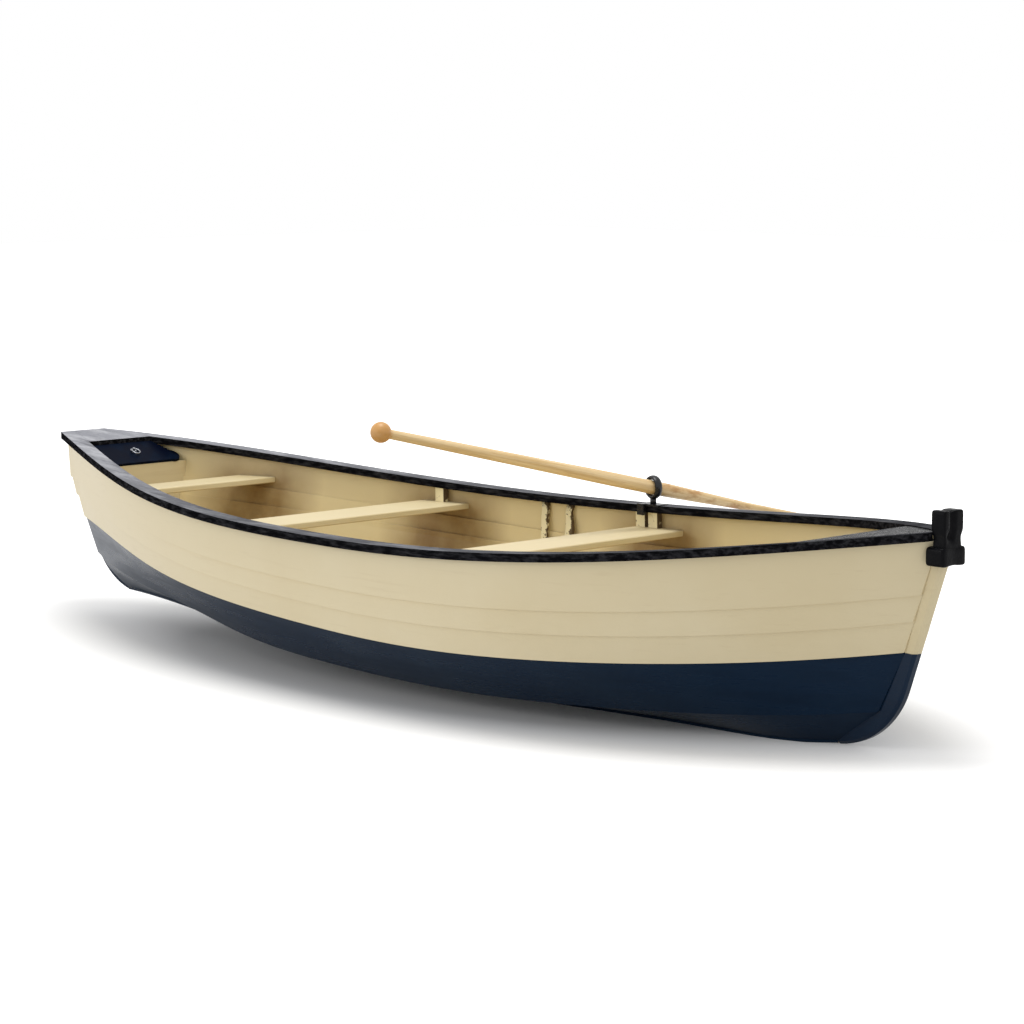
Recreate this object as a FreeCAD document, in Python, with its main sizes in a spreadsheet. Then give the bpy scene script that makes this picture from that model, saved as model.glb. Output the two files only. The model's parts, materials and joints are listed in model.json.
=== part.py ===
# Open rowing punt: a small clinker-planked boat with a narrow transom, on its flat bottom board
# Frame: +X towards the bow, +Y to port, +Z up, origin on the flat bottom half way along the hull
# Places along the hull are measured from the transom; every piece is carried to the frame at the end
# All sizes are in millimetres

import FreeCAD, Part
import math
import os
import Sketcher
from FreeCAD import Placement, Rotation, Vector

os.makedirs("parts", exist_ok=True)
doc = FreeCAD.newDocument("punt")

# Driving sizes: name, value, meaning
SIZES = [
    ("hull_length", 4000.0, "transom top to stemhead"),
    ("half_beam", 650.0, "outer planking to centre plane amidships"),
    ("hull_depth", 520.0, "floor to plank top amidships"),
    ("plank", 7.0, "plank thickness"),
    ("plank_lap", 20.0, "overlap of one strake on the next"),
    ("seam", 0.4, "gap left between pieces that touch"),
    ("board_thick", 22.0, "bottom board thickness"),
    ("flat_aft", 0.475, "aft end of the flat bottom, share of the length"),
    ("flat_fore", 0.890, "fore end of the flat bottom, share of the length"),
    ("keel_aft", 0.067, "aft end of the bottom, share of the length"),
    ("keel_aft_half", 22.0, "half breadth between the garboards at the stern"),
    ("stern_rise", 89.0, "lift of the bottom at the sternpost"),
    ("bow_rise", 4.0, "lift of the bottom at the stem"),
    ("garboard_lift", 8.0, "garboard's lower edge above the bottom board's underside"),
    ("transom_half", 91.0, "half the width over the planking at the transom's head"),
    ("bow_half", 17.0, "half the width over the planking at the stem"),
    ("rail_out", 22.0, "rail width outboard of the planking"),
    ("rail_width", 66.0, "whole rail width"),
    ("rail_height", 25.0, "rail height"),
    ("rail_cap", 8.0, "rail wood above the plank top"),
    ("rail_overhang", 30.0, "rail and stern deck past the transom"),
    ("stem_width", 38.0, "stem athwartships"),
    ("stem_face", 35.0, "stem showing ahead of the planks"),
    ("stem_drop", 32.0, "stem head below the plank tops at the bow"),
    ("forefoot_radius", 280.0, "round of the stem's foot"),
    ("forefoot_heel", 23.0, "fore end of the bottom ahead of the forefoot's centre"),
    ("stem_chamfer", 9.0, "bevel on the stem's front corners"),
    ("sternpost_width", 36.0, "sternpost athwartships"),
    ("sternpost_round", 290.0, "round of the sternpost"),
    ("sternpost_lip", 8.0, "sternpost aft of the plank ends at its head"),
    ("transom_thick", 20.0, "transom board"),
    ("deck_length", 227.0, "stern deck fore and aft"),
    ("deck_thick", 25.0, "stern deck board"),
    ("breasthook_length", 334.0, "breasthook's aft edge from the stemhead"),
    ("breasthook_tip", 3.0, "half breadth of the breasthook's tip"),
    ("breasthook_thick", 20.0, "breasthook board"),
    ("breasthook_drop", 3.0, "breasthook top below the rail top"),
    ("thwart_thick", 22.0, "thwart board"),
    ("thwart_round", 5.0, "rounding of the thwart's long edges"),
    ("thwart_width", 188.0, "thwart fore and aft"),
    ("knee_width", 41.0, "knee block fore and aft"),
    ("knee_thick", 24.0, "knee block athwartships"),
    ("rib_width", 27.0, "rib fore and aft"),
    ("rib_thick", 11.0, "rib athwartships"),
    ("rib_foot", 0.504, "height of the rib's lower end, share of the depth"),
    ("bulkhead_gap", 103.0, "stern bulkhead ahead of the stern deck"),
    ("bulkhead_thick", 12.0, "stern bulkhead board"),
    ("bulkhead_drop", 77.0, "top of the stern bulkhead below the rail top"),
    ("panel_thick", 10.0, "sloping back panel"),
    ("panel_corner", 60.0, "round of the back panel's lower corners"),
    ("panel_gap", 1.6, "back panel clear of the planking and the rails"),
    ("pull_offset", 22.0, "pull ring to port of the centre plane"),
    ("pull_ring", 15.0, "pull ring, radius to the wire's middle"),
    ("pull_wire", 2.6, "pull ring wire radius"),
    ("pull_plate", 2.5, "pull ring's round plate"),
    ("pull_stud", 12.0, "pull ring's stud, height"),
    ("pull_lift", 8.5, "pull ring's middle above the panel"),
    ("oarlock_ahead", 75.0, "rowlock pin ahead of the fore thwart's aft edge"),
    ("oarlock_inset", 17.0, "rowlock pin from the rail's inner edge"),
    ("oarlock_rise", 60.0, "oar axis above the rail top"),
    ("ring_radius", 33.0, "rowlock ring, radius to the band's middle"),
    ("ring_band", 7.0, "rowlock ring band radius"),
    ("pin_radius", 7.5, "rowlock pin radius"),
    ("neck_radius", 11.25, "rowlock neck between the pin and the ring"),
    ("pin_fit", 0.05, "running clearance round the rowlock pin"),
    ("pin_depth", 26.0, "rowlock pin below the socket plate's top"),
    ("barrel_radius", 11.0, "socket barrel let into the rail"),
    ("barrel_depth", 23.0, "socket barrel below the rail top"),
    ("lug_length", 30.0, "socket lug fore and aft"),
    ("lug_thick", 13.0, "socket lug athwartships"),
    ("lug_height", 32.0, "socket lug below the rail top"),
    ("socket_length", 88.0, "rowlock socket plate fore and aft"),
    ("socket_width", 46.0, "rowlock socket plate athwartships"),
    ("socket_plate", 6.0, "rowlock socket plate thickness"),
    ("socket_sunk", 1.0, "socket plate let into the rail top"),
    ("oar_inboard", 1061.0, "oar from the rowlock to the knob's middle"),
    ("oar_outboard", 1250.0, "oar from the rowlock to the blade tip"),
    ("oar_heading", 76.5, "oar's plan angle from the keel line"),
    ("oar_slope", 13.0, "oar's dip towards the blade"),
    ("oar_steepest", 15.0, "steepest dip the rowlock allows the oar"),
    ("oar_rub", 0.25, "oar above the ring's lower band at its steepest"),
    ("loom_radius", 23.0, "oar radius in the rowlock"),
    ("loom_inboard", 160.0, "oar of full radius inboard of the rowlock"),
    ("loom_outboard", 60.0, "oar of full radius outboard of the rowlock"),
    ("slim_outboard", 385.0, "oar narrowed from the rowlock to here"),
    ("slim_radius", 14.0, "oar radius where it is narrowed"),
    ("grip_radius", 15.5, "oar radius beside the knob"),
    ("knob_radius", 34.0, "oar knob radius"),
    ("blade_length", 520.0, "oar blade"),
    ("blade_width", 130.0, "oar blade across"),
    ("blade_thick", 12.0, "oar blade thickness"),
    ("collar_length", 66.0, "stemhead collar fore and aft"),
    ("collar_width", 106.0, "stemhead collar athwartships"),
    ("collar_height", 56.0, "stemhead collar"),
    ("collar_round", 9.0, "round of the collar's front and top"),
    ("collar_nose", 10.0, "collar ahead of the stem"),
    ("post_length", 50.0, "mooring post fore and aft"),
    ("post_nose", 7.0, "mooring post ahead of the stem"),
    ("post_width", 86.0, "mooring post athwartships"),
    ("post_height", 103.0, "mooring post"),
    ("post_round", 8.0, "rounding of the mooring post"),
    ("bolt_radius", 6.0, "bolt through the mooring post"),
    ("bolt_head", 9.0, "bolt head radius"),
    ("bolt_rise", 48.0, "bolt above the post's foot"),
    ("bolt_depth", 60.0, "bolt hole into the post"),
    ("bolt_end", 1.0, "bolt shank short of the hole's end"),
    ("bolt_cap", 6.0, "bolt head thickness"),
]
sheet = doc.addObject("Spreadsheet::Sheet", "sizes")
for row, (name, value, meaning) in enumerate(SIZES, start=1):
    sheet.set("A%d" % row, name)
    sheet.set("B%d" % row, str(value))
    sheet.set("C%d" % row, meaning)
    sheet.setAlias("B%d" % row, name)
doc.recompute()
S = {name: float(sheet.get(name)) for name, value, meaning in SIZES}

# Halvings in a search for a place, how far lofts run past the hull as a share of its length,
# distance in mm that counts as the same place, and share of an edge's length that counts as its direction
HALVINGS = 40
PAST_ENDS = 0.01
NEAR = 1.0
MOSTLY = 0.7

# Hull sections, port side, on the outer corner where two strakes meet
# along: share of hull_length; half breadths are shares of half_beam; heights are shares of hull_depth
# columns: along, keel half breadth, chine half breadth, chine height,
#          paint line half breadth, paint line height, sheer half breadth, sheer height, side bulge
SECTIONS = [
    (0.125, 0.077, 0.262, 0.327, 0.392, 0.619, 0.489, 1.154, 0.008),
    (0.250, 0.177, 0.462, 0.265, 0.692, 0.544, 0.763, 1.060, 0.014),
    (0.375, 0.246, 0.646, 0.190, 0.885, 0.485, 0.925, 1.002, 0.018),
    (0.500, 0.277, 0.692, 0.138, 0.962, 0.440, 1.000, 0.987, 0.018),
    (0.650, 0.254, 0.677, 0.127, 0.977, 0.425, 1.043, 1.010, 0.018),
    (0.800, 0.172, 0.462, 0.150, 0.735, 0.462, 0.892, 1.081, 0.015),
    (0.900, 0.085, 0.231, 0.192, 0.385, 0.515, 0.571, 1.156, 0.011),
]
# Where the lines end at the stern, columns: along, half breadth as share of transom_half, height share
STERN_ENDS = {
    "chine": (0.0270, 0.374, 0.413),
    "paint": (0.0125, 0.549, 0.663),
    "side": (0.0055, 0.692, 0.819),
    "top": (0.0010, 0.835, 0.946),
    "sheer": (0.0000, 1.000, 1.240),
}
# Where they end at the stem, columns: along, half breadth as share of bow_half, height share
BOW_ENDS = {
    "chine": (0.9535, 1.0, 0.231),
    "paint": (0.9760, 1.0, 0.583),
    "side": (0.9843, 1.0, 0.762),
    "top": (0.9910, 1.0, 0.915),
    "sheer": (1.0058, 1.0, 1.250),
}
# How far up the topsides the two upper laps run
SIDE_LAP = 0.258
TOP_LAP = 0.487
LINES = ["keel", "chine", "paint", "side", "top", "sheer"]
STRAKES = ["garboard", "bilge_strake", "lower_side_strake", "upper_side_strake", "sheer_strake"]


def eased(share):
    """A smooth step from 0 to 1."""
    share = min(max(share, 0.0), 1.0)
    return share * share * (3.0 - 2.0 * share)


def end_lines(ends, half_width):
    """Corner points (x, y, z) where the strakes end on the stem or the stern."""
    return {
        name: (along * S["hull_length"], half * half_width, height * S["hull_depth"])
        for name, (along, half, height) in ends.items()
    }


stern = end_lines(STERN_ENDS, S["transom_half"])
bow = end_lines(BOW_ENDS, S["bow_half"])

# Stem's front, parallel to the plank ends above the paint line, over a round forefoot
stem_low = (bow["paint"][0] + S["seam"], bow["paint"][2])
stem_rake = (bow["sheer"][0] - bow["paint"][0]) / (bow["sheer"][2] - bow["paint"][2])
stem_lean = math.atan(stem_rake)
stem_head = bow["sheer"][2] - S["stem_drop"]
front_foot = stem_low[0] + S["stem_face"] * math.hypot(1.0, stem_rake) - stem_low[1] * stem_rake
stem_top_back = (stem_low[0] + (stem_head - stem_low[1]) * stem_rake, stem_head)
stem_top_front = (front_foot + stem_head * stem_rake, stem_head)
half_turn = (math.pi / 2.0 - stem_lean) / 2.0
toe = S["forefoot_radius"] * math.tan(half_turn)
forefoot_x = front_foot - toe

# Mooring post's place on the stemhead, the rails and the topmost planking end against it
post_front = stem_top_front[0] + S["post_nose"]
post_aft = post_front - S["post_length"]

# Bottom's ends
keel_aft_x = S["keel_aft"] * S["hull_length"]
keel_fore_x = forefoot_x + S["forefoot_heel"]
flat_aft_x = S["flat_aft"] * S["hull_length"]
flat_fore_x = S["flat_fore"] * S["hull_length"]


def keel_height(x):
    """Underside of the bottom board: flat on the floor, lifting at both ends."""
    if x < flat_aft_x:
        return S["stern_rise"] * eased((flat_aft_x - x) / (flat_aft_x - keel_aft_x))
    return S["bow_rise"] * eased((x - flat_fore_x) / (keel_fore_x - flat_fore_x))


stern["keel"] = (keel_aft_x, S["keel_aft_half"], keel_height(keel_aft_x) + S["garboard_lift"])
bow["keel"] = (keel_fore_x, S["bow_half"], keel_height(keel_fore_x) + S["garboard_lift"])


def section_lines(row):
    """Corner points (x, y, z) of one hull section, from the keel up to the sheer."""
    along, ky, cy, cz, py, pz, sy, sz, bulge = row
    lines = {"chine": (cy, cz), "paint": (py, pz), "sheer": (sy, sz)}
    for name, share in (("side", SIDE_LAP), ("top", TOP_LAP)):
        swell = 4.0 * share * (1.0 - share) * bulge
        lines[name] = (py + (sy - py) * share + swell, pz + (sz - pz) * share)
    x = along * S["hull_length"]
    points = {name: (x, half * S["half_beam"], high * S["hull_depth"]) for name, (half, high) in lines.items()}
    points["keel"] = (x, ky * S["half_beam"], keel_height(x) + S["garboard_lift"])
    return points


def strake_outline(lines, index):
    """Corners of one strake's section: lapped over the strake below, bevelled under the one above."""
    lower = lines[LINES[index]]
    upper = lines[LINES[index + 1]]
    step = S["plank"] + S["seam"] if index else 0.0

    def face(low, high, offset):
        span = math.hypot(high[1] - low[1], high[2] - low[2])
        along = Vector(0, (high[1] - low[1]) / span, (high[2] - low[2]) / span)
        out = Vector(0, along.z, -along.y)
        tilt = math.asin(offset / span)
        up = along * math.cos(tilt) - out * math.sin(tilt)
        normal = out * math.cos(tilt) + along * math.sin(tilt)
        return up, normal

    up, normal = face(lower, upper, step)
    foot = Vector(*lower) + normal * step
    knuckle = Vector(*upper)
    outline = [foot, knuckle]
    if index < len(STRAKES) - 1:
        above = lines[LINES[index + 2]]
        next_up, next_normal = face(upper, above, S["plank"] + S["seam"])
        head = knuckle + next_up * S["plank_lap"]
        outline += [head, head - next_normal * S["plank"]]
        middle = normal + next_normal
        middle.normalize()
        outline.append(knuckle - middle * (S["plank"] / middle.dot(normal)))
    else:
        outline.append(knuckle - normal * S["plank"])
    outline.append(foot - normal * S["plank"])
    return outline


boat = []


def finished(item):
    """Count an object among the boat's pieces."""
    boat.append(item)
    return item


def feature(label, shape):
    """A free-form piece of the boat."""
    item = doc.addObject("Part::Feature", label)
    item.Label = label
    item.Shape = shape
    return finished(item)


def mirrored(shape):
    """The same piece on the starboard side."""
    return shape.mirror(Vector(0, 0, 0), Vector(0, 1, 0))


def both_sides(name, shape):
    """A port piece and its starboard twin."""
    feature(name + "_port", shape)
    feature(name + "_starboard", mirrored(shape))


# Long lines of the hull, each a smooth curve through its ends and its sections
stations = [stern] + [section_lines(row) for row in SECTIONS] + [bow]
curves = {}
for name in LINES:
    curve = Part.BSplineCurve()
    curve.interpolate([Vector(*lines[name]) for lines in stations])
    curves[name] = curve.toShape()


def point_at(edge, x):
    """The point where a long edge passes x, carried on straight past its ends."""
    low, high = edge.ParameterRange
    if edge.valueAt(low).x > edge.valueAt(high).x:
        low, high = high, low
    for end in (low, high):
        place, lead = edge.valueAt(end), edge.tangentAt(end)
        if (end == low and x <= place.x) or (end == high and x >= place.x):
            return place + lead * ((x - place.x) / lead.x)
    for halving in range(HALVINGS):
        middle = (low + high) / 2.0
        if edge.valueAt(middle).x < x:
            low = middle
        else:
            high = middle
    return edge.valueAt((low + high) / 2.0)


def lines_at(x):
    """All the hull's long lines where they pass x."""
    return {name: tuple(point_at(curves[name], x)) for name in LINES}


def closed(points):
    """A closed wire through the points."""
    return Part.makePolygon(points + points[:1])


def long_edge_near(edges, start):
    """The long edge with an end nearest the point."""
    return min(edges, key=lambda edge: min(vertex.Point.distanceToPoint(start) for vertex in edge.Vertexes))


def profile_cutter(profile, far_x):
    """Everything past a broken line of (x, z) points in side view."""
    top = profile[-1]
    lean = (top[0] - profile[-2][0]) / (top[1] - profile[-2][1])
    high = (top[0] + lean * S["half_beam"], top[1] + S["half_beam"])
    low = (profile[0][0], -S["half_beam"])
    outline = [low] + list(profile) + [high, (far_x, high[1]), (far_x, low[1])]
    face = Part.Face(closed([Vector(x, -S["half_beam"], z) for x, z in outline]))
    return face.extrude(Vector(0, 2.0 * S["half_beam"], 0))


# Planking, each strake lofted past both ends and cut back to the stem and the transom
STRAKE_STEPS = 20
stern_profile = [(stern[name][0], stern[name][2]) for name in LINES]
bow_profile = [(bow[name][0], bow[name][2]) for name in ("keel", "chine", "paint")]
bow_profile += [(stem_top_back[0] - S["seam"], stem_head)]
bow_profile += [(post_aft - S["seam"], z) for z in (stem_head + S["seam"], bow["sheer"][2])]
past_ends = PAST_ENDS * S["hull_length"]
strake_first = stern["sheer"][0] - past_ends
strake_last = bow["sheer"][0] + past_ends
strake_places = [
    strake_first + (strake_last - strake_first) * step / STRAKE_STEPS for step in range(STRAKE_STEPS + 1)
]
end_cutters = [
    profile_cutter(stern_profile, strake_first - past_ends),
    profile_cutter(bow_profile, strake_last + past_ends),
]
plank_edges = []
for index, name in enumerate(STRAKES):
    outlines = [strake_outline(lines_at(x), index) for x in strake_places]
    strake = Part.makeLoft([closed(points) for points in outlines], True, False)
    long_edges = [edge for edge in strake.Edges if edge.BoundBox.XLength > S["hull_length"] / 2.0]
    plank_edges.append([long_edge_near(long_edges, start) for start in outlines[0]])
    both_sides(name, strake.cut(end_cutters).Solids[0])


def corners_at(index, x):
    """Corner points, in order, of a strake's section at x."""
    return [point_at(edge, x) for edge in plank_edges[index]]


def planking_at(x, z):
    """Half breadths at which a level line at x and z passes through the planking."""
    hits = []
    for index in range(len(STRAKES)):
        corners = corners_at(index, x)
        for a, b in zip(corners, corners[1:] + corners[:1]):
            if (a.z - z) * (b.z - z) <= 0 and a.z != b.z:
                hits.append(a.y + (b.y - a.y) * (z - a.z) / (b.z - a.z))
    return hits


def clear_skin(spots):
    """Half breadth that clears the planking at each (x, z) of the list."""
    return min(min(planking_at(x, z)) for x, z in spots) - S["seam"]


# Bottom board between the garboards, its edges bevelled to theirs
def board_section(x):
    outer, inner = point_at(plank_edges[0][0], x), point_at(plank_edges[0][-1], x)
    low = keel_height(x) or -S["seam"]
    edge = [
        (outer.y - S["seam"], low),
        (outer.y - S["seam"], outer.z - S["seam"]),
        (inner.y - S["seam"], inner.z - S["seam"]),
        (inner.y - S["seam"], keel_height(x) + S["board_thick"]),
    ]
    return closed([Vector(x, y, z) for y, z in edge] + [Vector(x, -y, z) for y, z in reversed(edge)])


BOARD_STEPS = 20
BOW_STEPS = 4
board_aft = keel_aft_x + 2.0 * S["seam"]
board_fore = keel_fore_x - 2.0 * S["seam"]
board_places = [board_aft + (flat_aft_x - board_aft) * step / BOARD_STEPS for step in range(BOARD_STEPS)]
flat_length = flat_fore_x - flat_aft_x
board_places += [flat_aft_x + flat_length * step / BOARD_STEPS for step in range(BOARD_STEPS + 1)]
board_bow = board_fore - flat_fore_x
board_places += [flat_fore_x + board_bow * step / BOW_STEPS for step in range(1, BOW_STEPS + 1)]
board = Part.makeLoft([board_section(x) for x in board_places], True, True)
floor = Part.makeBox(S["hull_length"], 2.0 * S["half_beam"], S["board_thick"])
floor.translate(Vector(0, -S["half_beam"], -S["board_thick"]))
feature("bottom_board", board.cut(floor))


# Rails, each grooved over the sheer strake's top edge
def rail_section(x):
    corners = sorted(corners_at(len(STRAKES) - 1, x), key=lambda p: p.z)
    low = sorted(corners[:2], key=lambda p: p.y)
    high = sorted(corners[2:], key=lambda p: p.y)
    gap = S["seam"]
    top = max(p.z for p in high) + S["rail_cap"]
    under = top - S["rail_height"]

    def at_height(a, b, z):
        return a.y + (b.y - a.y) * (z - a.z) / (b.z - a.z)

    outer = high[1].y + S["rail_out"]
    inner = outer - S["rail_width"]
    roof = max(p.z for p in high) + gap
    outline = [
        (outer, under),
        (at_height(low[1], high[1], under) + gap, under),
        (at_height(low[1], high[1], roof) + gap, roof),
        (at_height(low[0], high[0], roof) - gap, roof),
        (at_height(low[0], high[0], under) - gap, under),
        (inner, under),
        (inner, top),
        (outer, top),
    ]
    return [Vector(x, y, z) for y, z in outline]


rail_sections = [rail_section(x) for x in strake_places]
rail = Part.makeLoft([closed(points) for points in rail_sections], True, False)
long_edges = [edge for edge in rail.Edges if edge.BoundBox.XLength > S["hull_length"] / 2.0]
rail_edges = [long_edge_near(long_edges, start) for start in rail_sections[0]]


def rail_point(x, corner):
    """A corner of the rail's section at x: 5 is inner low, 6 inner high, 7 outer high."""
    return point_at(rail_edges[corner], x)


# Thwarts, columns: name, aft edge as share of the length, top as share of the depth, width share
THWARTS = [("aft", 0.1290, 0.975, 0.74), ("middle", 0.3150, 0.885, 1.0), ("fore", 0.5540, 0.858, 1.0)]
thwart_aft_edge = {name: along * S["hull_length"] for name, along, high, share in THWARTS}
thwart_top = {name: high * S["hull_depth"] for name, along, high, share in THWARTS}

# Rowlock socket's seat, a flat let into the port rail's top
oarlock_x = thwart_aft_edge["fore"] + S["oarlock_ahead"]
rail_mark = rail_point(oarlock_x, 6)
socket_aft = oarlock_x - S["socket_length"] / 2.0
socket_fore = oarlock_x + S["socket_length"] / 2.0
pin_y = rail_mark.y + S["oarlock_inset"]
seat_z = min(rail_point(x, corner).z for x in (socket_aft, socket_fore) for corner in (6, 7)) - S["socket_sunk"]
seat = Vector(oarlock_x, pin_y, seat_z)
bore = Part.makeCylinder(S["barrel_radius"] + S["seam"], 3.0 * S["rail_height"])
bore.translate(seat - Vector(0, 0, 2.0 * S["rail_height"]))
pocket_width = S["socket_width"] + 2.0 * S["seam"]
pocket = Part.makeBox(S["socket_length"] + 2.0 * S["seam"], pocket_width, S["rail_height"])
pocket.translate(seat - Vector(S["socket_length"] / 2.0 + S["seam"], pocket_width / 2.0, S["seam"]))
rail_start = -S["rail_overhang"]
rail_end = post_aft - S["seam"]
port_box = Part.makeBox(rail_end - rail_start, 2.0 * S["half_beam"], 2.0 * S["hull_depth"])
port_box.translate(Vector(rail_start, S["seam"] / 2.0, 0))
rail = rail.common(port_box)
feature("gunwale_port", rail.cut([bore, pocket]))
feature("gunwale_starboard", mirrored(rail))


def deck_board(label, x_from, x_to, drop, thick, steps):
    """A board between the rails, its edges following them."""
    wires = []
    for step in range(steps + 1):
        x = x_from + (x_to - x_from) * step / steps
        point = rail_point(x, 6)
        half = point.y - S["seam"]
        top = point.z - drop
        corners = [(-half, top - thick), (half, top - thick), (half, top), (-half, top)]
        points = [Vector(x, y, z) for y, z in corners]
        wires.append(closed(points))
    feature(label, Part.makeLoft(wires, True, True))


deck_front = rail_start + S["deck_length"]
deck_board("stern_deck", rail_start, deck_front, 0.0, S["deck_thick"], 2)
breasthook_aft = S["hull_length"] - S["breasthook_length"]
low, high = breasthook_aft, rail_end
for halving in range(HALVINGS):
    middle = (low + high) / 2.0
    if rail_point(middle, 6).y > S["breasthook_tip"] + S["seam"]:
        low = middle
    else:
        high = middle
deck_board("breasthook", breasthook_aft, low, S["breasthook_drop"], S["breasthook_thick"], 4)


def sketched_prism(label, outline, plane, size, midplane=False):
    """A body padded from a closed outline drawn on one of its origin planes."""
    body = doc.addObject("PartDesign::Body", label)
    body.Label = label
    base = [item for item in body.Origin.OriginFeatures if item.Role == plane][0]
    sketch = body.newObject("Sketcher::SketchObject", label + "_outline")
    sketch.AttachmentSupport = [(base, "")]
    sketch.MapMode = "FlatFace"
    count = len(outline)
    for number, start in enumerate(outline):
        end = outline[(number + 1) % count]
        if len(start) == 3:
            middle = Vector(start[2][0], start[2][1], 0)
            arc = Part.Arc(Vector(start[0], start[1], 0), middle, Vector(end[0], end[1], 0))
            sketch.addGeometry(arc, False)
        else:
            line = Part.LineSegment(Vector(start[0], start[1], 0), Vector(end[0], end[1], 0))
            sketch.addGeometry(line, False)
    pad = body.newObject("PartDesign::Pad", label + "_pad")
    pad.Profile = sketch
    if midplane:
        pad.Midplane = True
    pad.setExpression("Length", "sizes." + size)
    doc.recompute()
    return body, pad


def eased_corners(body, base, kind, prop, size, chooser):
    """Round or bevel the edges of a body's feature that the chooser picks."""
    names = ["Edge%d" % (number + 1) for number, edge in enumerate(base.Shape.Edges) if chooser(edge)]
    dressing = body.newObject(kind, body.Name + "_edge")
    dressing.Base = (base, names)
    dressing.setExpression(prop, "sizes." + size)
    doc.recompute()
    return dressing


def rounded(body, base, size, chooser):
    """Round the edges of a body's feature that the chooser picks."""
    return eased_corners(body, base, "PartDesign::Fillet", "Radius", size, chooser)


# Stem, its front straight above a round forefoot, its back against the plank ends
stem_back = [(bow[name][0] + S["seam"], bow[name][2]) for name in ("keel", "chine", "paint")]
tangent_up = (front_foot + toe * math.sin(stem_lean), toe * math.cos(stem_lean))
arc_middle = (
    forefoot_x + S["forefoot_radius"] * math.sin(half_turn),
    S["forefoot_radius"] * (1.0 - math.cos(half_turn)),
)
toe_x = stem_back[0][0]
toe_z = S["forefoot_radius"] - math.sqrt(S["forefoot_radius"] ** 2 - (toe_x - forefoot_x) ** 2)
stem_outline = [
    stem_top_front,
    (tangent_up[0], tangent_up[1], arc_middle),
    (toe_x, toe_z),
    *stem_back,
    stem_top_back,
]
stem_body, stem_pad = sketched_prism("stem", stem_outline, "XZ_Plane", "stem_width", midplane=True)
front_middle = ((tangent_up[0] + stem_top_front[0]) / 2.0, (tangent_up[1] + stem_top_front[1]) / 2.0)


def on_stem_front(edge):
    """True for the two long corners of the stem's front."""
    middle = edge.valueAt((edge.FirstParameter + edge.LastParameter) / 2.0)
    return any(math.hypot(middle.x - x, middle.z - z) < NEAR for x, z in (front_middle, arc_middle))


eased_corners(stem_body, stem_pad, "PartDesign::Chamfer", "Size", "stem_chamfer", on_stem_front)
finished(stem_body)


# Sternpost, round like a forefoot, aft of the plank ends
back_foot = (keel_aft_x - S["seam"], stern["keel"][2])
back_heel = (keel_aft_x - S["seam"], keel_height(keel_aft_x))
back_bend = (stern["chine"][0] - S["seam"], stern["chine"][2])
back_head = (stern["paint"][0] - S["seam"], stern["paint"][2])
back_lip = (stern["paint"][0] - S["sternpost_lip"], stern["paint"][2])
chord = math.hypot(back_heel[0] - back_lip[0], back_heel[1] - back_lip[1])
swell = S["sternpost_round"] - math.sqrt(S["sternpost_round"] ** 2 - chord * chord / 4.0)
back_arc = (
    (back_lip[0] + back_heel[0]) / 2.0 + swell * (back_heel[1] - back_lip[1]) / chord,
    (back_lip[1] + back_heel[1]) / 2.0 - swell * (back_heel[0] - back_lip[0]) / chord,
)
back_outline = [(back_lip[0], back_lip[1], back_arc), back_heel, back_foot, back_bend, back_head]
sternpost_body = sketched_prism("sternpost", back_outline, "XZ_Plane", "sternpost_width", midplane=True)[0]
finished(sternpost_body)


# Space inside the planking at the stern, one seam clear of it, laps and all
INSIDE_STEPS = 8


def inside_section(x):
    edge = []
    for index in range(len(STRAKES)):
        corners = [corner - Vector(0, 1.5 * S["seam"], 0) for corner in corners_at(index, x)]
        foot, inner = corners[-1], corners[-2]
        if index == 0:
            floor_z = keel_height(x) + S["board_thick"] + S["seam"]
            edge.append(foot + (inner - foot) * ((floor_z - foot.z) / (inner.z - foot.z)))
        edge.append(inner)
        if index < len(STRAKES) - 1:
            edge += [corners[3] + Vector(0, 0, S["seam"]), corners[2] + Vector(0, 0, S["seam"])]
    return closed(edge + [Vector(p.x, -p.y, p.z) for p in reversed(edge)])


bulkhead_aft = deck_front + S["bulkhead_gap"]
inside_first = stern["sheer"][0] - past_ends
inside_last = bulkhead_aft + 2.0 * past_ends
inside_places = [
    inside_first + (inside_last - inside_first) * step / INSIDE_STEPS for step in range(INSIDE_STEPS + 1)
]
inside = Part.makeLoft([inside_section(x) for x in inside_places], True, False)

# Transom, joggled to the planking and raked with the plank ends
transom_foot = keel_height(keel_aft_x) + S["board_thick"] + S["seam"]
keel_x, keel_z = stern_profile[0]
chine_x, chine_z = stern_profile[1]
transom_aft = [(keel_x + (chine_x - keel_x) * (transom_foot - keel_z) / (chine_z - keel_z), transom_foot)]
transom_aft += stern_profile[1:-1]
top_x, top_z = stern_profile[-2]
sheer_x, sheer_z = stern_profile[-1]
transom_head = rail_point(top_x + S["transom_thick"], 5).z - S["seam"]
transom_aft.append((top_x + (sheer_x - top_x) * (transom_head - top_z) / (sheer_z - top_z), transom_head))
transom_fore = [(x + S["transom_thick"], z) for x, z in reversed(transom_aft)]
slab = Part.Face(closed([Vector(x, -S["half_beam"], z) for x, z in transom_aft + transom_fore]))
slab = slab.extrude(Vector(0, 2.0 * S["half_beam"], 0))
feature("transom", slab.common(inside))

# Stern bulkhead on the bottom board, joggled to the planking like the transom
bulkhead_top = rail_point(bulkhead_aft, 6).z - S["bulkhead_drop"]
bulkhead = Part.makeBox(S["bulkhead_thick"], 2.0 * S["half_beam"], bulkhead_top)
bulkhead.translate(Vector(bulkhead_aft, -S["half_beam"], 0))
feature("stern_bulkhead", bulkhead.common(inside))


def runs_along(edge, axis):
    """True for a straight edge that runs mostly along the axis."""
    if len(edge.Vertexes) < 2:
        return False
    reach = edge.Vertexes[1].Point - edge.Vertexes[0].Point
    return reach.Length > 0.0 and abs(reach.dot(axis)) > MOSTLY * reach.Length


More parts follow.
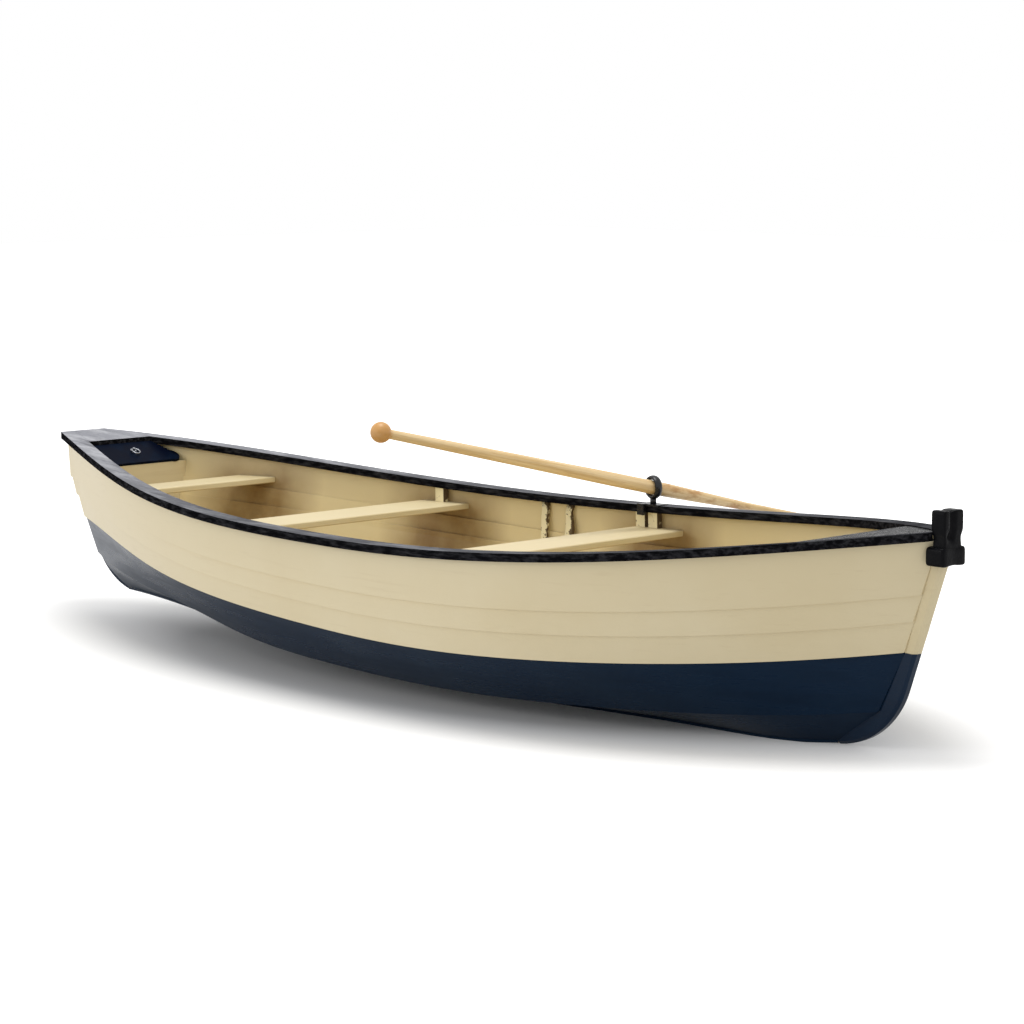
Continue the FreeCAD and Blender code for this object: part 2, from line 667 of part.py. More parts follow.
def is_long_edge(edge):
    """True for an edge straight across the boat."""
    return runs_along(edge, Vector(0, 1, 0)) and edge.BoundBox.XLength < NEAR


# Thwart boards, cut to the planking at both ends
THWART_LEVELS = 12
for name, along, high, share in THWARTS:
    aft = thwart_aft_edge[name]
    fore = aft + S["thwart_width"] * share
    top = thwart_top[name]
    low = top - S["thwart_thick"]
    levels = [low + (top - low) * step / THWART_LEVELS for step in range(THWART_LEVELS + 1)]
    aft_half = clear_skin([(aft, z) for z in levels])
    fore_half = clear_skin([(fore, z) for z in levels])
    outline = [(aft, -aft_half), (fore, -fore_half), (fore, fore_half), (aft, aft_half)]
    body, pad = sketched_prism("thwart_" + name, outline, "XY_Plane", "thwart_thick")
    rounded(body, pad, "thwart_round", is_long_edge)
    body.Placement = Placement(Vector(0, 0, low), Rotation())
    finished(body)


def skin_line(x_from, x_to, z_low, z_high, steps=24):
    """Half breadths at two heights of the straight line that just clears the planking between them."""
    heights = [z_low + (z_high - z_low) * step / steps for step in range(steps + 1)]
    clear = [clear_skin([(x_from, z), (x_to, z)]) for z in heights]
    lean = (clear[-1] - clear[0]) / (z_high - z_low)
    base = min(half - lean * (z - z_low) for half, z in zip(clear, heights))
    return base, base + lean * (z_high - z_low)


def upright(label, x, width, thick, z_low):
    """A block or rib against the planking, from z_low up to the rail, on both sides."""
    fore = x + S[width]
    z_high = min(rail_point(x, 5).z, rail_point(fore, 5).z) - S["seam"]
    low_half, high_half = skin_line(x, fore, z_low, z_high)
    for side, sign in (("port", 1.0), ("starboard", -1.0)):
        outline = [
            (sign * low_half, z_low),
            (sign * high_half, z_high),
            (sign * (high_half - S[thick]), z_high),
            (sign * (low_half - S[thick]), z_low),
        ]
        body, pad = sketched_prism("%s_%s" % (label, side), outline, "YZ_Plane", width)
        body.Placement = Placement(Vector(x, 0, 0), Rotation())
        finished(body)


# Knee blocks, columns: name, thwart they stand on, set forward of its aft edge
KNEES = [("knee_middle", "middle", 65.0), ("knee_fore_a", "fore", 2.0), ("knee_fore_b", "fore", 56.0)]
for name, thwart, forward in KNEES:
    knee_x = thwart_aft_edge[thwart] + forward
    upright(name, knee_x, "knee_width", "knee_thick", thwart_top[thwart] + S["seam"])

# Ribs on the topsides, columns: name, aft face as share of the length
RIBS = [("rib_aft", 0.4475), ("rib_fore", 0.4750)]
for name, along in RIBS:
    upright(name, along * S["hull_length"], "rib_width", "rib_thick", S["rib_foot"] * S["hull_depth"])

# Sloping back panel from the stern deck's front edge down to the bulkhead
panel_top = Vector(deck_front, 0, rail_point(deck_front, 5).z - S["seam"])
panel_foot = Vector(bulkhead_aft + S["bulkhead_thick"], 0, bulkhead_top + S["seam"])
panel_run = panel_foot - panel_top
panel_pitch = math.degrees(math.atan2(-panel_run.z, panel_run.x))
top_half = clear_skin([(panel_top.x, panel_top.z), (panel_top.x, panel_top.z - S["panel_thick"])])
top_half = min(top_half, rail_point(deck_front, 5).y) - S["panel_gap"]
foot_half = clear_skin([(panel_foot.x, panel_foot.z), (panel_foot.x - S["panel_thick"], panel_foot.z)])
foot_half = foot_half - S["panel_gap"]
panel_length = panel_run.Length
slant = (foot_half - top_half) / panel_length
bend = S["panel_corner"] * (1.0 - math.sqrt(0.5))


def panel_side(sign):
    """The panel's rounded lower corner on one side, as points in the panel's own plane."""
    shoulder = (panel_length - S["panel_corner"], sign * (foot_half - slant * S["panel_corner"]))
    middle = (panel_length - bend, sign * (foot_half - bend))
    base = (panel_length, sign * (foot_half - S["panel_corner"]))
    return shoulder, middle, base


port_shoulder, port_middle, port_base = panel_side(1.0)
star_shoulder, star_middle, star_base = panel_side(-1.0)
panel_outline = [
    (0.0, top_half),
    (port_shoulder[0], port_shoulder[1], port_middle),
    port_base,
    (star_base[0], star_base[1], star_middle),
    star_shoulder,
    (0.0, -top_half),
]
body, pad = sketched_prism("back_panel", panel_outline, "XY_Plane", "panel_thick")
panel_turn = Rotation(Vector(0, 1, 0), panel_pitch)
body.Placement = Placement(panel_top, panel_turn)
finished(body)


def bound(kind, label, sizes, place):
    """A primitive whose sizes are tied to the sheet."""
    item = doc.addObject(kind, label)
    for prop, expression in sizes.items():
        item.setExpression(prop, expression)
    item.Placement = place
    return item


def joined(label, parts):
    """Several primitives joined to one piece."""
    fuse = doc.addObject("Part::MultiFuse", label)
    fuse.Label = label
    fuse.Shapes = parts
    fuse.Refine = True
    doc.recompute()
    return fuse


# Pull ring on the back panel: a round plate, a stud and a ring
PULL_DOWN = 0.42
pull_spot = panel_turn.multVec(Vector(panel_length * PULL_DOWN, S["pull_offset"], S["panel_thick"] + S["seam"]))
pull_place = Placement(panel_top + pull_spot, panel_turn)
plate_sizes = {"Radius": "sizes.pull_ring * 3 / 4", "Height": "sizes.pull_plate"}
plate = bound("Part::Cylinder", "pull_plate", plate_sizes, pull_place)
stud_sizes = {"Radius": "sizes.pull_wire * 2", "Height": "sizes.pull_stud"}
stud = bound("Part::Cylinder", "pull_stud", stud_sizes, pull_place)
loop_spot = Placement(Vector(S["pull_ring"], 0, S["pull_lift"]), Rotation())
loop = bound(
    "Part::Torus",
    "pull_loop",
    {"Radius1": "sizes.pull_ring", "Radius2": "sizes.pull_wire"},
    pull_place.multiply(loop_spot),
)
finished(joined("pull_ring", [plate, stud, loop]))

# Rowlock socket, let into the port rail
plate_place = Placement(seat - Vector(S["socket_length"] / 2.0, S["socket_width"] / 2.0, 0), Rotation())
socket_plate = bound(
    "Part::Box",
    "socket_top",
    {"Length": "sizes.socket_length", "Width": "sizes.socket_width", "Height": "sizes.socket_plate"},
    plate_place,
)
barrel = bound(
    "Part::Cylinder",
    "socket_barrel",
    {"Radius": "sizes.barrel_radius", "Height": "sizes.barrel_depth + sizes.seam"},
    Placement(seat - Vector(0, 0, S["barrel_depth"]), Rotation()),
)
lug_face = min(rail_point(socket_aft, 6).y, rail_point(socket_aft + S["lug_length"], 6).y) - S["seam"]
lug_corner = Vector(socket_aft, lug_face - S["lug_thick"], seat.z - S["lug_height"])
lug = bound(
    "Part::Box",
    "socket_lug",
    {
        "Length": "sizes.lug_length",
        "Width": "sizes.lug_thick",
        "Height": "sizes.lug_height + sizes.socket_plate",
    },
    Placement(lug_corner, Rotation()),
)
socket_solid = joined("socket_solid", [socket_plate, barrel, lug])
pin_bore = bound(
    "Part::Cylinder",
    "pin_bore",
    {"Radius": "sizes.pin_radius + sizes.pin_fit", "Height": "sizes.lug_height + sizes.barrel_depth"},
    Placement(seat - Vector(0, 0, S["lug_height"]), Rotation()),
)
socket = doc.addObject("Part::Cut", "rowlock_socket")
socket.Base = socket_solid
socket.Tool = pin_bore
finished(socket)

# Rowlock: a closed ring on a collared pin
ring_centre = Vector(seat.x, pin_y, rail_mark.z + S["oarlock_rise"])
heading = Rotation(Vector(0, 0, 1), S["oar_heading"])
ring_turn = heading.multiply(Rotation(Vector(0, 1, 0), 90.0))
ring = bound(
    "Part::Torus",
    "ring_band",
    {"Radius1": "sizes.ring_radius", "Radius2": "sizes.ring_band"},
    Placement(ring_centre, ring_turn),
)
plate_top = seat.z + S["socket_plate"]
foot_low = plate_top + S["seam"]
neck = bound(
    "Part::Cylinder",
    "ring_neck",
    {
        "Radius": "sizes.neck_radius",
        "Height": "sizes.oarlock_rise - sizes.ring_radius - sizes.socket_plate",
    },
    Placement(Vector(seat.x, pin_y, foot_low), Rotation()),
)
pin = bound(
    "Part::Cylinder",
    "ring_pin",
    {"Radius": "sizes.pin_radius", "Height": "sizes.pin_depth + sizes.socket_plate"},
    Placement(Vector(seat.x, pin_y, plate_top - S["pin_depth"]), Rotation()),
)
finished(joined("rowlock", [ring, neck, pin]))

# Oar: a turned loom with a ball grip, and a flat blade
knob_at = -S["oar_inboard"]
neck_run = math.sqrt(S["knob_radius"] ** 2 - S["grip_radius"] ** 2)
blade_root = S["oar_outboard"] - S["blade_length"]
spine_end = blade_root + S["blade_length"] / 3.0
loom_outline = [
    (knob_at - S["knob_radius"], 0.0, (knob_at, S["knob_radius"])),
    (knob_at + neck_run, S["grip_radius"]),
    (-S["loom_inboard"], S["loom_radius"]),
    (S["loom_outboard"], S["loom_radius"]),
    (S["slim_outboard"], S["slim_radius"]),
    (blade_root, S["slim_radius"]),
    (spine_end, S["blade_thick"] / 2.0),
    (spine_end, 0.0),
]
oar = doc.addObject("PartDesign::Body", "oar")
oar.Label = "oar"
oar_plane = [item for item in oar.Origin.OriginFeatures if item.Role == "XY_Plane"][0]


def oar_sketch(name, outline):
    """A closed outline in the oar's own plane, its X along the loom."""
    sketch = oar.newObject("Sketcher::SketchObject", name)
    sketch.AttachmentSupport = [(oar_plane, "")]
    sketch.MapMode = "FlatFace"
    for start, end in zip(outline, outline[1:] + outline[:1]):
        first, last = Vector(start[0], start[1], 0), Vector(end[0], end[1], 0)
        if len(start) == 3:
            sketch.addGeometry(Part.Arc(first, Vector(start[2][0], start[2][1], 0), last), False)
        else:
            sketch.addGeometry(Part.LineSegment(first, last), False)
    return sketch


loom_sketch = oar_sketch("loom_outline", loom_outline)
loom = oar.newObject("PartDesign::Revolution", "loom")
loom.Profile = loom_sketch
loom.ReferenceAxis = (loom_sketch, ["H_Axis"])
loom.Angle = 360.0
doc.recompute()
half_blade = S["blade_width"] / 2.0
tip = S["oar_outboard"]
root_half = S["blade_thick"] / 2.0
waist = (blade_root + S["blade_length"] / 3.0, half_blade * 3.0 / 4.0)
tip_side = tip - half_blade / 2.0
blade_outline = [
    (blade_root, root_half),
    waist,
    (tip_side, half_blade, (tip, 0.0)),
    (tip_side, -half_blade),
    (waist[0], -waist[1]),
    (blade_root, -root_half),
]
blade = oar.newObject("PartDesign::Pad", "blade")
blade.Profile = oar_sketch("blade_outline", blade_outline)
blade.Midplane = True
blade.setExpression("Length", "sizes.blade_thick")
doc.recompute()
oar_low = S["ring_radius"] - (S["loom_radius"] + S["ring_band"] + S["oar_rub"]) / math.cos(
    math.radians(S["oar_steepest"])
)
oar_middle = ring_centre - Vector(0, 0, oar_low)
oar.Placement = Placement(oar_middle, heading.multiply(Rotation(Vector(0, 1, 0), S["oar_slope"])))
finished(oar)

# Stemhead collar, slotted over the stem and the plank ends
slot_half = S["stem_width"] / 2.0 + S["seam"]
slot_back = stem_top_back[0] + S["seam"]
slot_front = stem_top_front[0] + S["seam"]
collar_front = stem_top_front[0] + S["collar_nose"]
collar_aft = collar_front - S["collar_length"]
collar_half = S["collar_width"] / 2.0
plank_slot = max(planking_at(collar_aft, stem_head)) + S["seam"]
collar_port = [
    (collar_front, collar_half),
    (collar_aft, collar_half),
    (collar_aft, plank_slot),
    (slot_back, plank_slot),
    (slot_back, slot_half),
    (slot_front, slot_half),
]
collar_outline = collar_port + [(x, -y) for x, y in reversed(collar_port)]


def on_collar_face(edge):
    """True for the edges round the collar's front and its top's long edges."""
    box = edge.BoundBox
    front = box.XMin > collar_front - S["seam"]
    outer = abs(box.YMin + box.YMax) > S["collar_width"] - S["seam"]
    top = box.ZMin > S["collar_height"] - S["seam"]
    return front or (outer and top)


collar_body, collar_pad = sketched_prism("stemhead_collar", collar_outline, "XY_Plane", "collar_height")
rounded(
    collar_body,
    collar_pad,
    "collar_round",
    on_collar_face,
)
collar_body.Placement = Placement(Vector(0, 0, stem_head - S["collar_height"]), Rotation())
finished(collar_body)

# Mooring post on the stemhead, with a bolt through its port side
post_low = stem_head + S["seam"]
post_half = S["post_width"] / 2.0
post_outline = [
    (post_aft, -post_half),
    (post_front, -post_half),
    (post_front, post_half),
    (post_aft, post_half),
]
post_body, post_pad = sketched_prism("post_block", post_outline, "XY_Plane", "post_height")
rounded(post_body, post_pad, "post_round", lambda edge: edge.BoundBox.ZMax > S["seam"])
post_body.Placement = Placement(Vector(0, 0, post_low), Rotation())
bolt_turn = Rotation(Vector(1, 0, 0), 90.0)
bolt_at = Vector((post_aft + post_front) / 2.0, post_half, post_low + S["bolt_rise"])
bolt_hole = bound(
    "Part::Cylinder",
    "bolt_hole",
    {"Radius": "sizes.bolt_radius + sizes.seam / 2", "Height": "sizes.bolt_depth + sizes.bolt_cap"},
    Placement(bolt_at + Vector(0, S["bolt_cap"], 0), bolt_turn),
)
post = doc.addObject("Part::Cut", "mooring_post")
post.Base = post_body
post.Tool = bolt_hole
finished(post)
shank = bound(
    "Part::Cylinder",
    "bolt_shank",
    {"Radius": "sizes.bolt_radius", "Height": "sizes.bolt_depth - sizes.bolt_end + sizes.bolt_cap / 2"},
    Placement(bolt_at + Vector(0, S["bolt_cap"] / 2.0, 0), bolt_turn),
)
cap = bound(
    "Part::Cylinder",
    "bolt_cap",
    {"Radius": "sizes.bolt_head", "Height": "sizes.bolt_cap"},
    Placement(bolt_at + Vector(0, S["bolt_cap"] + S["seam"], 0), bolt_turn),
)
finished(joined("post_bolt", [shank, cap]))

# Checks, then one file for each piece
doc.recompute()
problems = [item.Label for item in doc.Objects if "Invalid" in item.State or "Error" in item.State]
if problems:
    raise RuntimeError("failed objects: %s" % ", ".join(problems))
for item in boat:
    shape = item.Shape
    if shape.isNull() or not shape.isValid() or shape.Volume <= 0:
        raise RuntimeError("bad shape: %s" % item.Label)
    if len(shape.Solids) != 1:
        raise RuntimeError("%s has %d solids" % (item.Label, len(shape.Solids)))
centre_shift = Placement(Vector(-S["hull_length"] / 2.0, 0, 0), Rotation())
for item in boat:
    item.Placement = centre_shift.multiply(item.Placement)
doc.recompute()
for item in boat:
    item.Shape.exportStep("parts/%s.step" % item.Label)
print("%d pieces" % len(boat))
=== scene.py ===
import json
import math

import bpy
from mathutils import Euler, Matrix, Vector


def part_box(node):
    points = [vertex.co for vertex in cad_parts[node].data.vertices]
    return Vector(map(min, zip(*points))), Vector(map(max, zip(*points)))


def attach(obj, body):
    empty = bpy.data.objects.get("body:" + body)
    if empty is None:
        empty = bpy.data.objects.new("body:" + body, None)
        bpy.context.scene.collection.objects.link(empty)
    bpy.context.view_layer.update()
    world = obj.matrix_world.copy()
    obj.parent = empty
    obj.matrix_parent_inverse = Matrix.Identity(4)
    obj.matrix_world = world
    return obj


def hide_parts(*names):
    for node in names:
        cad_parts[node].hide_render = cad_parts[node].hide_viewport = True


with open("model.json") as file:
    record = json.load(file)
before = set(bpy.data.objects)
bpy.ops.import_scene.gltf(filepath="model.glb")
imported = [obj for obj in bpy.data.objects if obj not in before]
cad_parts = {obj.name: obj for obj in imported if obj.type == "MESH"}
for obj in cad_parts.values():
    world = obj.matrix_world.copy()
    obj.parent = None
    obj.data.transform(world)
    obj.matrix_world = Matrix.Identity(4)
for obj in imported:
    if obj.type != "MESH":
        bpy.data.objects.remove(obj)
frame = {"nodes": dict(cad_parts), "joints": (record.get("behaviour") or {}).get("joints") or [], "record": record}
nodes = frame["nodes"]
joints = {joint["name"]: joint for joint in frame["joints"]}
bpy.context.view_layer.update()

# Paint and wood colours, linear
CREAM = (0.670, 0.565, 0.350, 1)
CREAM_PALE = (0.745, 0.655, 0.450, 1)
# Painted warm bounce light for the inner faces of the planking
CREAM_BOUNCE_LIGHT = (0.770, 0.635, 0.335, 1)
# Painted highlight for the ribs and knees
CREAM_HIGHLIGHT = (0.880, 0.790, 0.500, 1)
SEAT_CREAM = (0.660, 0.540, 0.290, 1)
# Grime in the cream paint, also used as painted shade on board undersides
CREAM_GRIME_AND_SHADE = (0.360, 0.225, 0.070, 1)
# Painted shade below the seat ends
SEAT_SHADE_BROWN = (0.200, 0.100, 0.018, 1)
NAVY = (0.0050, 0.0170, 0.0400, 1)
NAVY_DARK = (0.0030, 0.0095, 0.0230, 1)
NAVY_DULL = (0.0120, 0.0280, 0.0520, 1)
PANEL_NAVY = (0.0020, 0.0036, 0.0110, 1)
BLACK = (0.0045, 0.0045, 0.0055, 1)
BLACK_SCUFFED = (0.0700, 0.0700, 0.0780, 1)
BLACK_DULL = (0.0160, 0.0160, 0.0160, 1)
# Grey of rubbed paint mixed with painted reflection on rail and deck tops; the paler one also gives the
# breasthook's painted highlights
RUBBED_AND_SHEEN = (0.3000, 0.3040, 0.3300, 1)
PALE_WEAR_AND_HIGHLIGHT = (0.5200, 0.5240, 0.5500, 1)
SPRUCE = (0.660, 0.450, 0.200, 1)
SPRUCE_PALE = (0.860, 0.670, 0.390, 1)
SPRUCE_DARK = (0.420, 0.190, 0.050, 1)
KNOB_TAN = (0.540, 0.255, 0.055, 1)
# Worn wood at board ends and chips, also used as painted shade on rib and knee faces
BARE_WOOD_AND_SHADE = (0.060, 0.028, 0.009, 1)
CHROME_GREY = (0.380, 0.390, 0.420, 1)
IRON_BLACK = (0.012, 0.013, 0.016, 1)
BOLT_BLACK = (0.012, 0.012, 0.013, 1)

# Heights of the edge between the cream and the navy paint, in metres
PAINT_HEIGHT_BOW = 0.300
PAINT_HEIGHT_STERN = 0.345

# How far the oar tips down outboard when the boat is at rest
OAR_SLOPE = math.radians(13.0)

# How much each paint mirrors, where it is duller than a plain varnish
GLOSS_NAVY = 0.07
GLOSS_PANEL = 0.02
GLOSS_TWO_TONE = 0.12
GLOSS_RIB = 0.15
GLOSS_RUBBED = 0.0
GLOSS_COLLAR = 0.04
GLOSS_TAR = 0.01


def new_material(name):
    """An empty procedural material and its node tree, shader and object coordinates."""
    material = bpy.data.materials.new(name)
    material.use_nodes = True
    tree = material.node_tree
    shader = tree.nodes["Principled BSDF"]
    place = tree.nodes.new("ShaderNodeTexCoord").outputs["Object"]
    return material, tree, shader, place


def mapped(tree, place, scale):
    """Object coordinates stretched by a scale along each axis."""
    node = tree.nodes.new("ShaderNodeMapping")
    node.inputs["Scale"].default_value = scale
    tree.links.new(place, node.inputs["Vector"])
    return node.outputs["Vector"]


def noise(tree, place, scale, detail=6.0, rough=0.55, distortion=0.0):
    """Noise between 0 and 1 over the coordinates."""
    node = tree.nodes.new("ShaderNodeTexNoise")
    node.inputs["Scale"].default_value = scale
    node.inputs["Detail"].default_value = detail
    node.inputs["Roughness"].default_value = rough
    node.inputs["Distortion"].default_value = distortion
    tree.links.new(place, node.inputs["Vector"])
    return node.outputs["Fac"]


def ramp(tree, value, low, high, first=0.0, last=1.0):
    """The value carried from low..high to first..last, held at both ends."""
    node = tree.nodes.new("ShaderNodeMapRange")
    node.inputs["From Min"].default_value = low
    node.inputs["From Max"].default_value = high
    node.inputs["To Min"].default_value = first
    node.inputs["To Max"].default_value = last
    tree.links.new(value, node.inputs["Value"])
    return node.outputs["Result"]


def blend_colour(tree, factor, first, second):
    """A mix of two colours or colour sockets by a factor socket."""
    node = tree.nodes.new("ShaderNodeMix")
    node.data_type = "RGBA"
    tree.links.new(factor, node.inputs["Factor"])
    for socket, colour in ((node.inputs[6], first), (node.inputs[7], second)):
        if isinstance(colour, tuple):
            socket.default_value = colour
        else:
            tree.links.new(colour, socket)
    return node.outputs[2]


def sums(tree, operation, first, second):
    """One arithmetic step on sockets or numbers."""
    node = tree.nodes.new("ShaderNodeMath")
    node.operation = operation
    for socket, value in zip(node.inputs, (first, second)):
        if isinstance(value, (int, float)):
            socket.default_value = value
        else:
            tree.links.new(value, socket)
    return node.outputs["Value"]


def bump(tree, shader, height, strength, distance):
    """Surface relief from a height socket."""
    node = tree.nodes.new("ShaderNodeBump")
    node.inputs["Strength"].default_value = strength
    node.inputs["Distance"].default_value = distance
    tree.links.new(height, node.inputs["Height"])
    tree.links.new(node.outputs["Normal"], shader.inputs["Normal"])


def normal_axis(tree, axis):
    """One component of the surface's own normal."""
    geometry = tree.nodes.new("ShaderNodeNewGeometry")
    split = tree.nodes.new("ShaderNodeSeparateXYZ")
    tree.links.new(geometry.outputs["True Normal"], split.inputs["Vector"])
    return split.outputs[axis]


def place_axis(tree, place, axis):
    """One component of the object coordinates."""
    split = tree.nodes.new("ShaderNodeSeparateXYZ")
    tree.links.new(place, split.inputs["Vector"])
    return split.outputs[axis]


def band(tree, value, low, high, soft):
    """1 between low and high, falling to 0 over the soft distance on both sides."""
    rise = ramp(tree, value, low - soft, low)
    fall = ramp(tree, value, high, high + soft, first=1.0, last=0.0)
    return sums(tree, "MULTIPLY", rise, fall)


def faces_inward(tree, place):
    """1 on faces that look into the boat, 0 on faces that look out of it."""
    side = sums(tree, "SIGN", place_axis(tree, place, "Y"), 0.0)
    outward = sums(tree, "MULTIPLY", normal_axis(tree, "Y"), side)
    return ramp(tree, sums(tree, "SUBTRACT", normal_axis(tree, "Z"), outward), -0.02, 0.02)


def cream_layers(tree, place):
    """Brushed cream paint: colour, relief and broad tone that every cream piece shares."""
    broad = noise(tree, place, scale=2.2, detail=4.0)
    streaks = noise(tree, mapped(tree, place, (3.0, 14.0, 60.0)), scale=1.0, detail=5.0)
    speck = noise(tree, place, scale=90.0, detail=3.0)
    colour = blend_colour(tree, ramp(tree, broad, 0.35, 0.7, first=0.0, last=0.55), CREAM, CREAM_PALE)
    grime = ramp(tree, streaks, 0.60, 0.85, first=0.0, last=0.16)
    colour = blend_colour(tree, grime, colour, CREAM_GRIME_AND_SHADE)
    flakes = noise(tree, place, scale=26.0, detail=9.0, rough=0.7)
    chips = ramp(tree, flakes, 0.70, 0.74, first=0.0, last=0.5)
    colour = blend_colour(tree, chips, colour, CREAM_GRIME_AND_SHADE)
    height = sums(tree, "ADD", sums(tree, "MULTIPLY", streaks, 0.6), sums(tree, "MULTIPLY", speck, 0.3))
    return colour, height, broad


def shade_under_seats(tree, place):
    """Where painted shade browns the planking below the ends of the seats."""
    past_aft_edge = 0.02
    past_fore_edge = 0.03
    below_seat = 0.002
    shade_depth = 0.22
    fade_along = 0.16
    fade_down = 0.14
    along = place_axis(tree, place, "X")
    above = place_axis(tree, place, "Z")
    mottle = noise(tree, place, scale=9.0, detail=6.0)
    total = None
    for name in ("thwart_aft", "thwart_middle", "thwart_fore"):
        low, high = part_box(name)
        reach = band(tree, along, low.x - past_aft_edge, high.x + past_fore_edge, soft=fade_along)
        depth = band(tree, above, low.z - shade_depth, low.z - below_seat, soft=fade_down)
        patch = sums(tree, "MULTIPLY", reach, depth)
        total = patch if total is None else sums(tree, "MAXIMUM", total, patch)
    return sums(tree, "MULTIPLY", total, ramp(tree, mottle, 0.2, 0.7, first=0.55, last=0.90))


def plank_cream():
    """Cream paint on the topsides, with painted warm bounce light on the inner faces and painted shade below the
    seats.
    """
    material, tree, shader, place = new_material("plank_cream")
    colour, height, broad = cream_layers(tree, place)
    inside = faces_inward(tree, place)
    # Painted bounce light: inner faces take a warmer, brighter cream
    colour = blend_colour(tree, sums(tree, "MULTIPLY", inside, 0.7), colour, CREAM_BOUNCE_LIGHT)
    # Painted shade below the seat ends, mottled, on the inner faces only
    seat_shade = sums(tree, "MULTIPLY", shade_under_seats(tree, place), inside)
    colour = blend_colour(tree, seat_shade, colour, SEAT_SHADE_BROWN)
    tree.links.new(colour, shader.inputs["Base Color"])
    tree.links.new(ramp(tree, broad, 0.3, 0.7, first=0.36, last=0.50), shader.inputs["Roughness"])
    bump(tree, shader, height, strength=0.22, distance=0.0015)
    return material


def board_cream():
    """Cream paint on seats and boards, worn to brown wood on their end faces, with painted shade on the faces that
    look down.
    """
    material, tree, shader, place = new_material("board_cream")
    colour, height, broad = cream_layers(tree, place)
    colour = blend_colour(tree, ramp(tree, broad, 0.3, 0.7, first=0.75, last=0.45), colour, SEAT_CREAM)
    grain = noise(tree, mapped(tree, place, (60.0, 2.5, 60.0)), scale=1.0, detail=6.0)
    colour = blend_colour(tree, ramp(tree, grain, 0.55, 0.8, first=0.0, last=0.18), colour, CREAM_GRIME_AND_SHADE)
    # Painted shade: faces that look down are darkened towards brown
    under = ramp(tree, normal_axis(tree, "Z"), -0.3, -0.7)
    colour = blend_colour(tree, sums(tree, "MULTIPLY", under, 0.6), colour, CREAM_GRIME_AND_SHADE)
    sideways = sums(tree, "ABSOLUTE", normal_axis(tree, "Y"), 0.0)
    ends = ramp(tree, sideways, 0.6, 0.9, first=0.0, last=0.8)
    colour = blend_colour(tree, ends, colour, BARE_WOOD_AND_SHADE)
    tree.links.new(colour, shader.inputs["Base Color"])
    tree.links.new(ramp(tree, broad, 0.3, 0.7, first=0.40, last=0.56), shader.inputs["Roughness"])
    height = sums(tree, "ADD", height, sums(tree, "MULTIPLY", grain, 0.5))
    bump(tree, shader, height, strength=0.25, distance=0.0015)
    return material


def chipped_shaded_cream():
    """Cream paint on ribs and knees with a painted highlight, chipped in small nicks, and with painted shade in
    waves on their forward faces and along their forward edges.
    """
    edge_inset = 0.003
    edge_reach = 0.03
    edge_wander = 0.09
    material, tree, shader, place = new_material("chipped_shaded_cream")
    colour, height, broad = cream_layers(tree, place)
    # Painted highlight: ribs and knees are lightened towards a brighter cream
    colour = blend_colour(tree, ramp(tree, broad, 0.0, 0.4, first=0.6, last=0.8), colour, CREAM_HIGHLIGHT)
    # Painted shade: forward faces and a wavy band along each rib's forward edge go dark brown
    forward = ramp(tree, normal_axis(tree, "X"), 0.3, 0.7)
    waves = noise(tree, place, scale=38.0, detail=5.0, rough=0.6)
    forward_shade = sums(tree, "MULTIPLY", forward, ramp(tree, waves, 0.30, 0.42))
    wander = sums(tree, "MULTIPLY", sums(tree, "SUBTRACT", waves, 0.5), edge_wander)
    edge = sums(tree, "ADD", place_axis(tree, place, "X"), wander)
    for name in ("rib_aft_port", "rib_fore_port"):
        forward_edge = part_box(name)[1].x
        strip = band(tree, edge, forward_edge - edge_inset, forward_edge + edge_reach, soft=0.002)
        forward_shade = sums(tree, "MAXIMUM", forward_shade, strip)
    colour = blend_colour(tree, sums(tree, "MULTIPLY", forward_shade, 0.92), colour, BARE_WOOD_AND_SHADE)
    pecks = noise(tree, place, scale=42.0, detail=7.0, rough=0.65)
    nicks = ramp(tree, pecks, 0.60, 0.66, first=0.0, last=0.85)
    colour = blend_colour(tree, nicks, colour, BARE_WOOD_AND_SHADE)
    tree.links.new(colour, shader.inputs["Base Color"])
    shader.inputs["Roughness"].default_value = 0.55
    shader.inputs["Specular IOR Level"].default_value = GLOSS_RIB
    bump(tree, shader, sums(tree, "ADD", height, waves), strength=0.3, distance=0.0020)
    return material


def navy_layers(tree, place):
    """Gloss navy paint: colour, roughness and relief."""
    scuff = noise(tree, mapped(tree, place, (2.0, 6.0, 24.0)), scale=1.0, detail=5.0)
    cloud = noise(tree, place, scale=2.4, detail=4.0)
    colour = blend_colour(tree, ramp(tree, scuff, 0.45, 0.8, first=0.0, last=0.6), NAVY, NAVY_DARK)
    colour = blend_colour(tree, ramp(tree, cloud, 0.5, 0.75, first=0.0, last=0.6), colour, NAVY_DULL)
    rough = ramp(tree, scuff, 0.3, 0.8, first=0.24, last=0.36)
    return colour, rough, scuff


def bottom_paint():
    """Gloss navy outside and cream inside, for the strakes below the paint line."""
    material, tree, shader, place = new_material("bottom_paint")
    colour, height = cream_layers(tree, place)[:2]
    navy, rough, scuff = navy_layers(tree, place)
    inside = faces_inward(tree, place)
    tree.links.new(blend_colour(tree, inside, navy, colour), shader.inputs["Base Color"])
    inner_rough = sums(tree, "MULTIPLY", inside, 0.2)
    tree.links.new(sums(tree, "ADD", rough, inner_rough), shader.inputs["Roughness"])
    shader.inputs["Specular IOR Level"].default_value = GLOSS_NAVY
    bump(tree, shader, sums(tree, "ADD", height, scuff), strength=0.10, distance=0.0010)
    return material


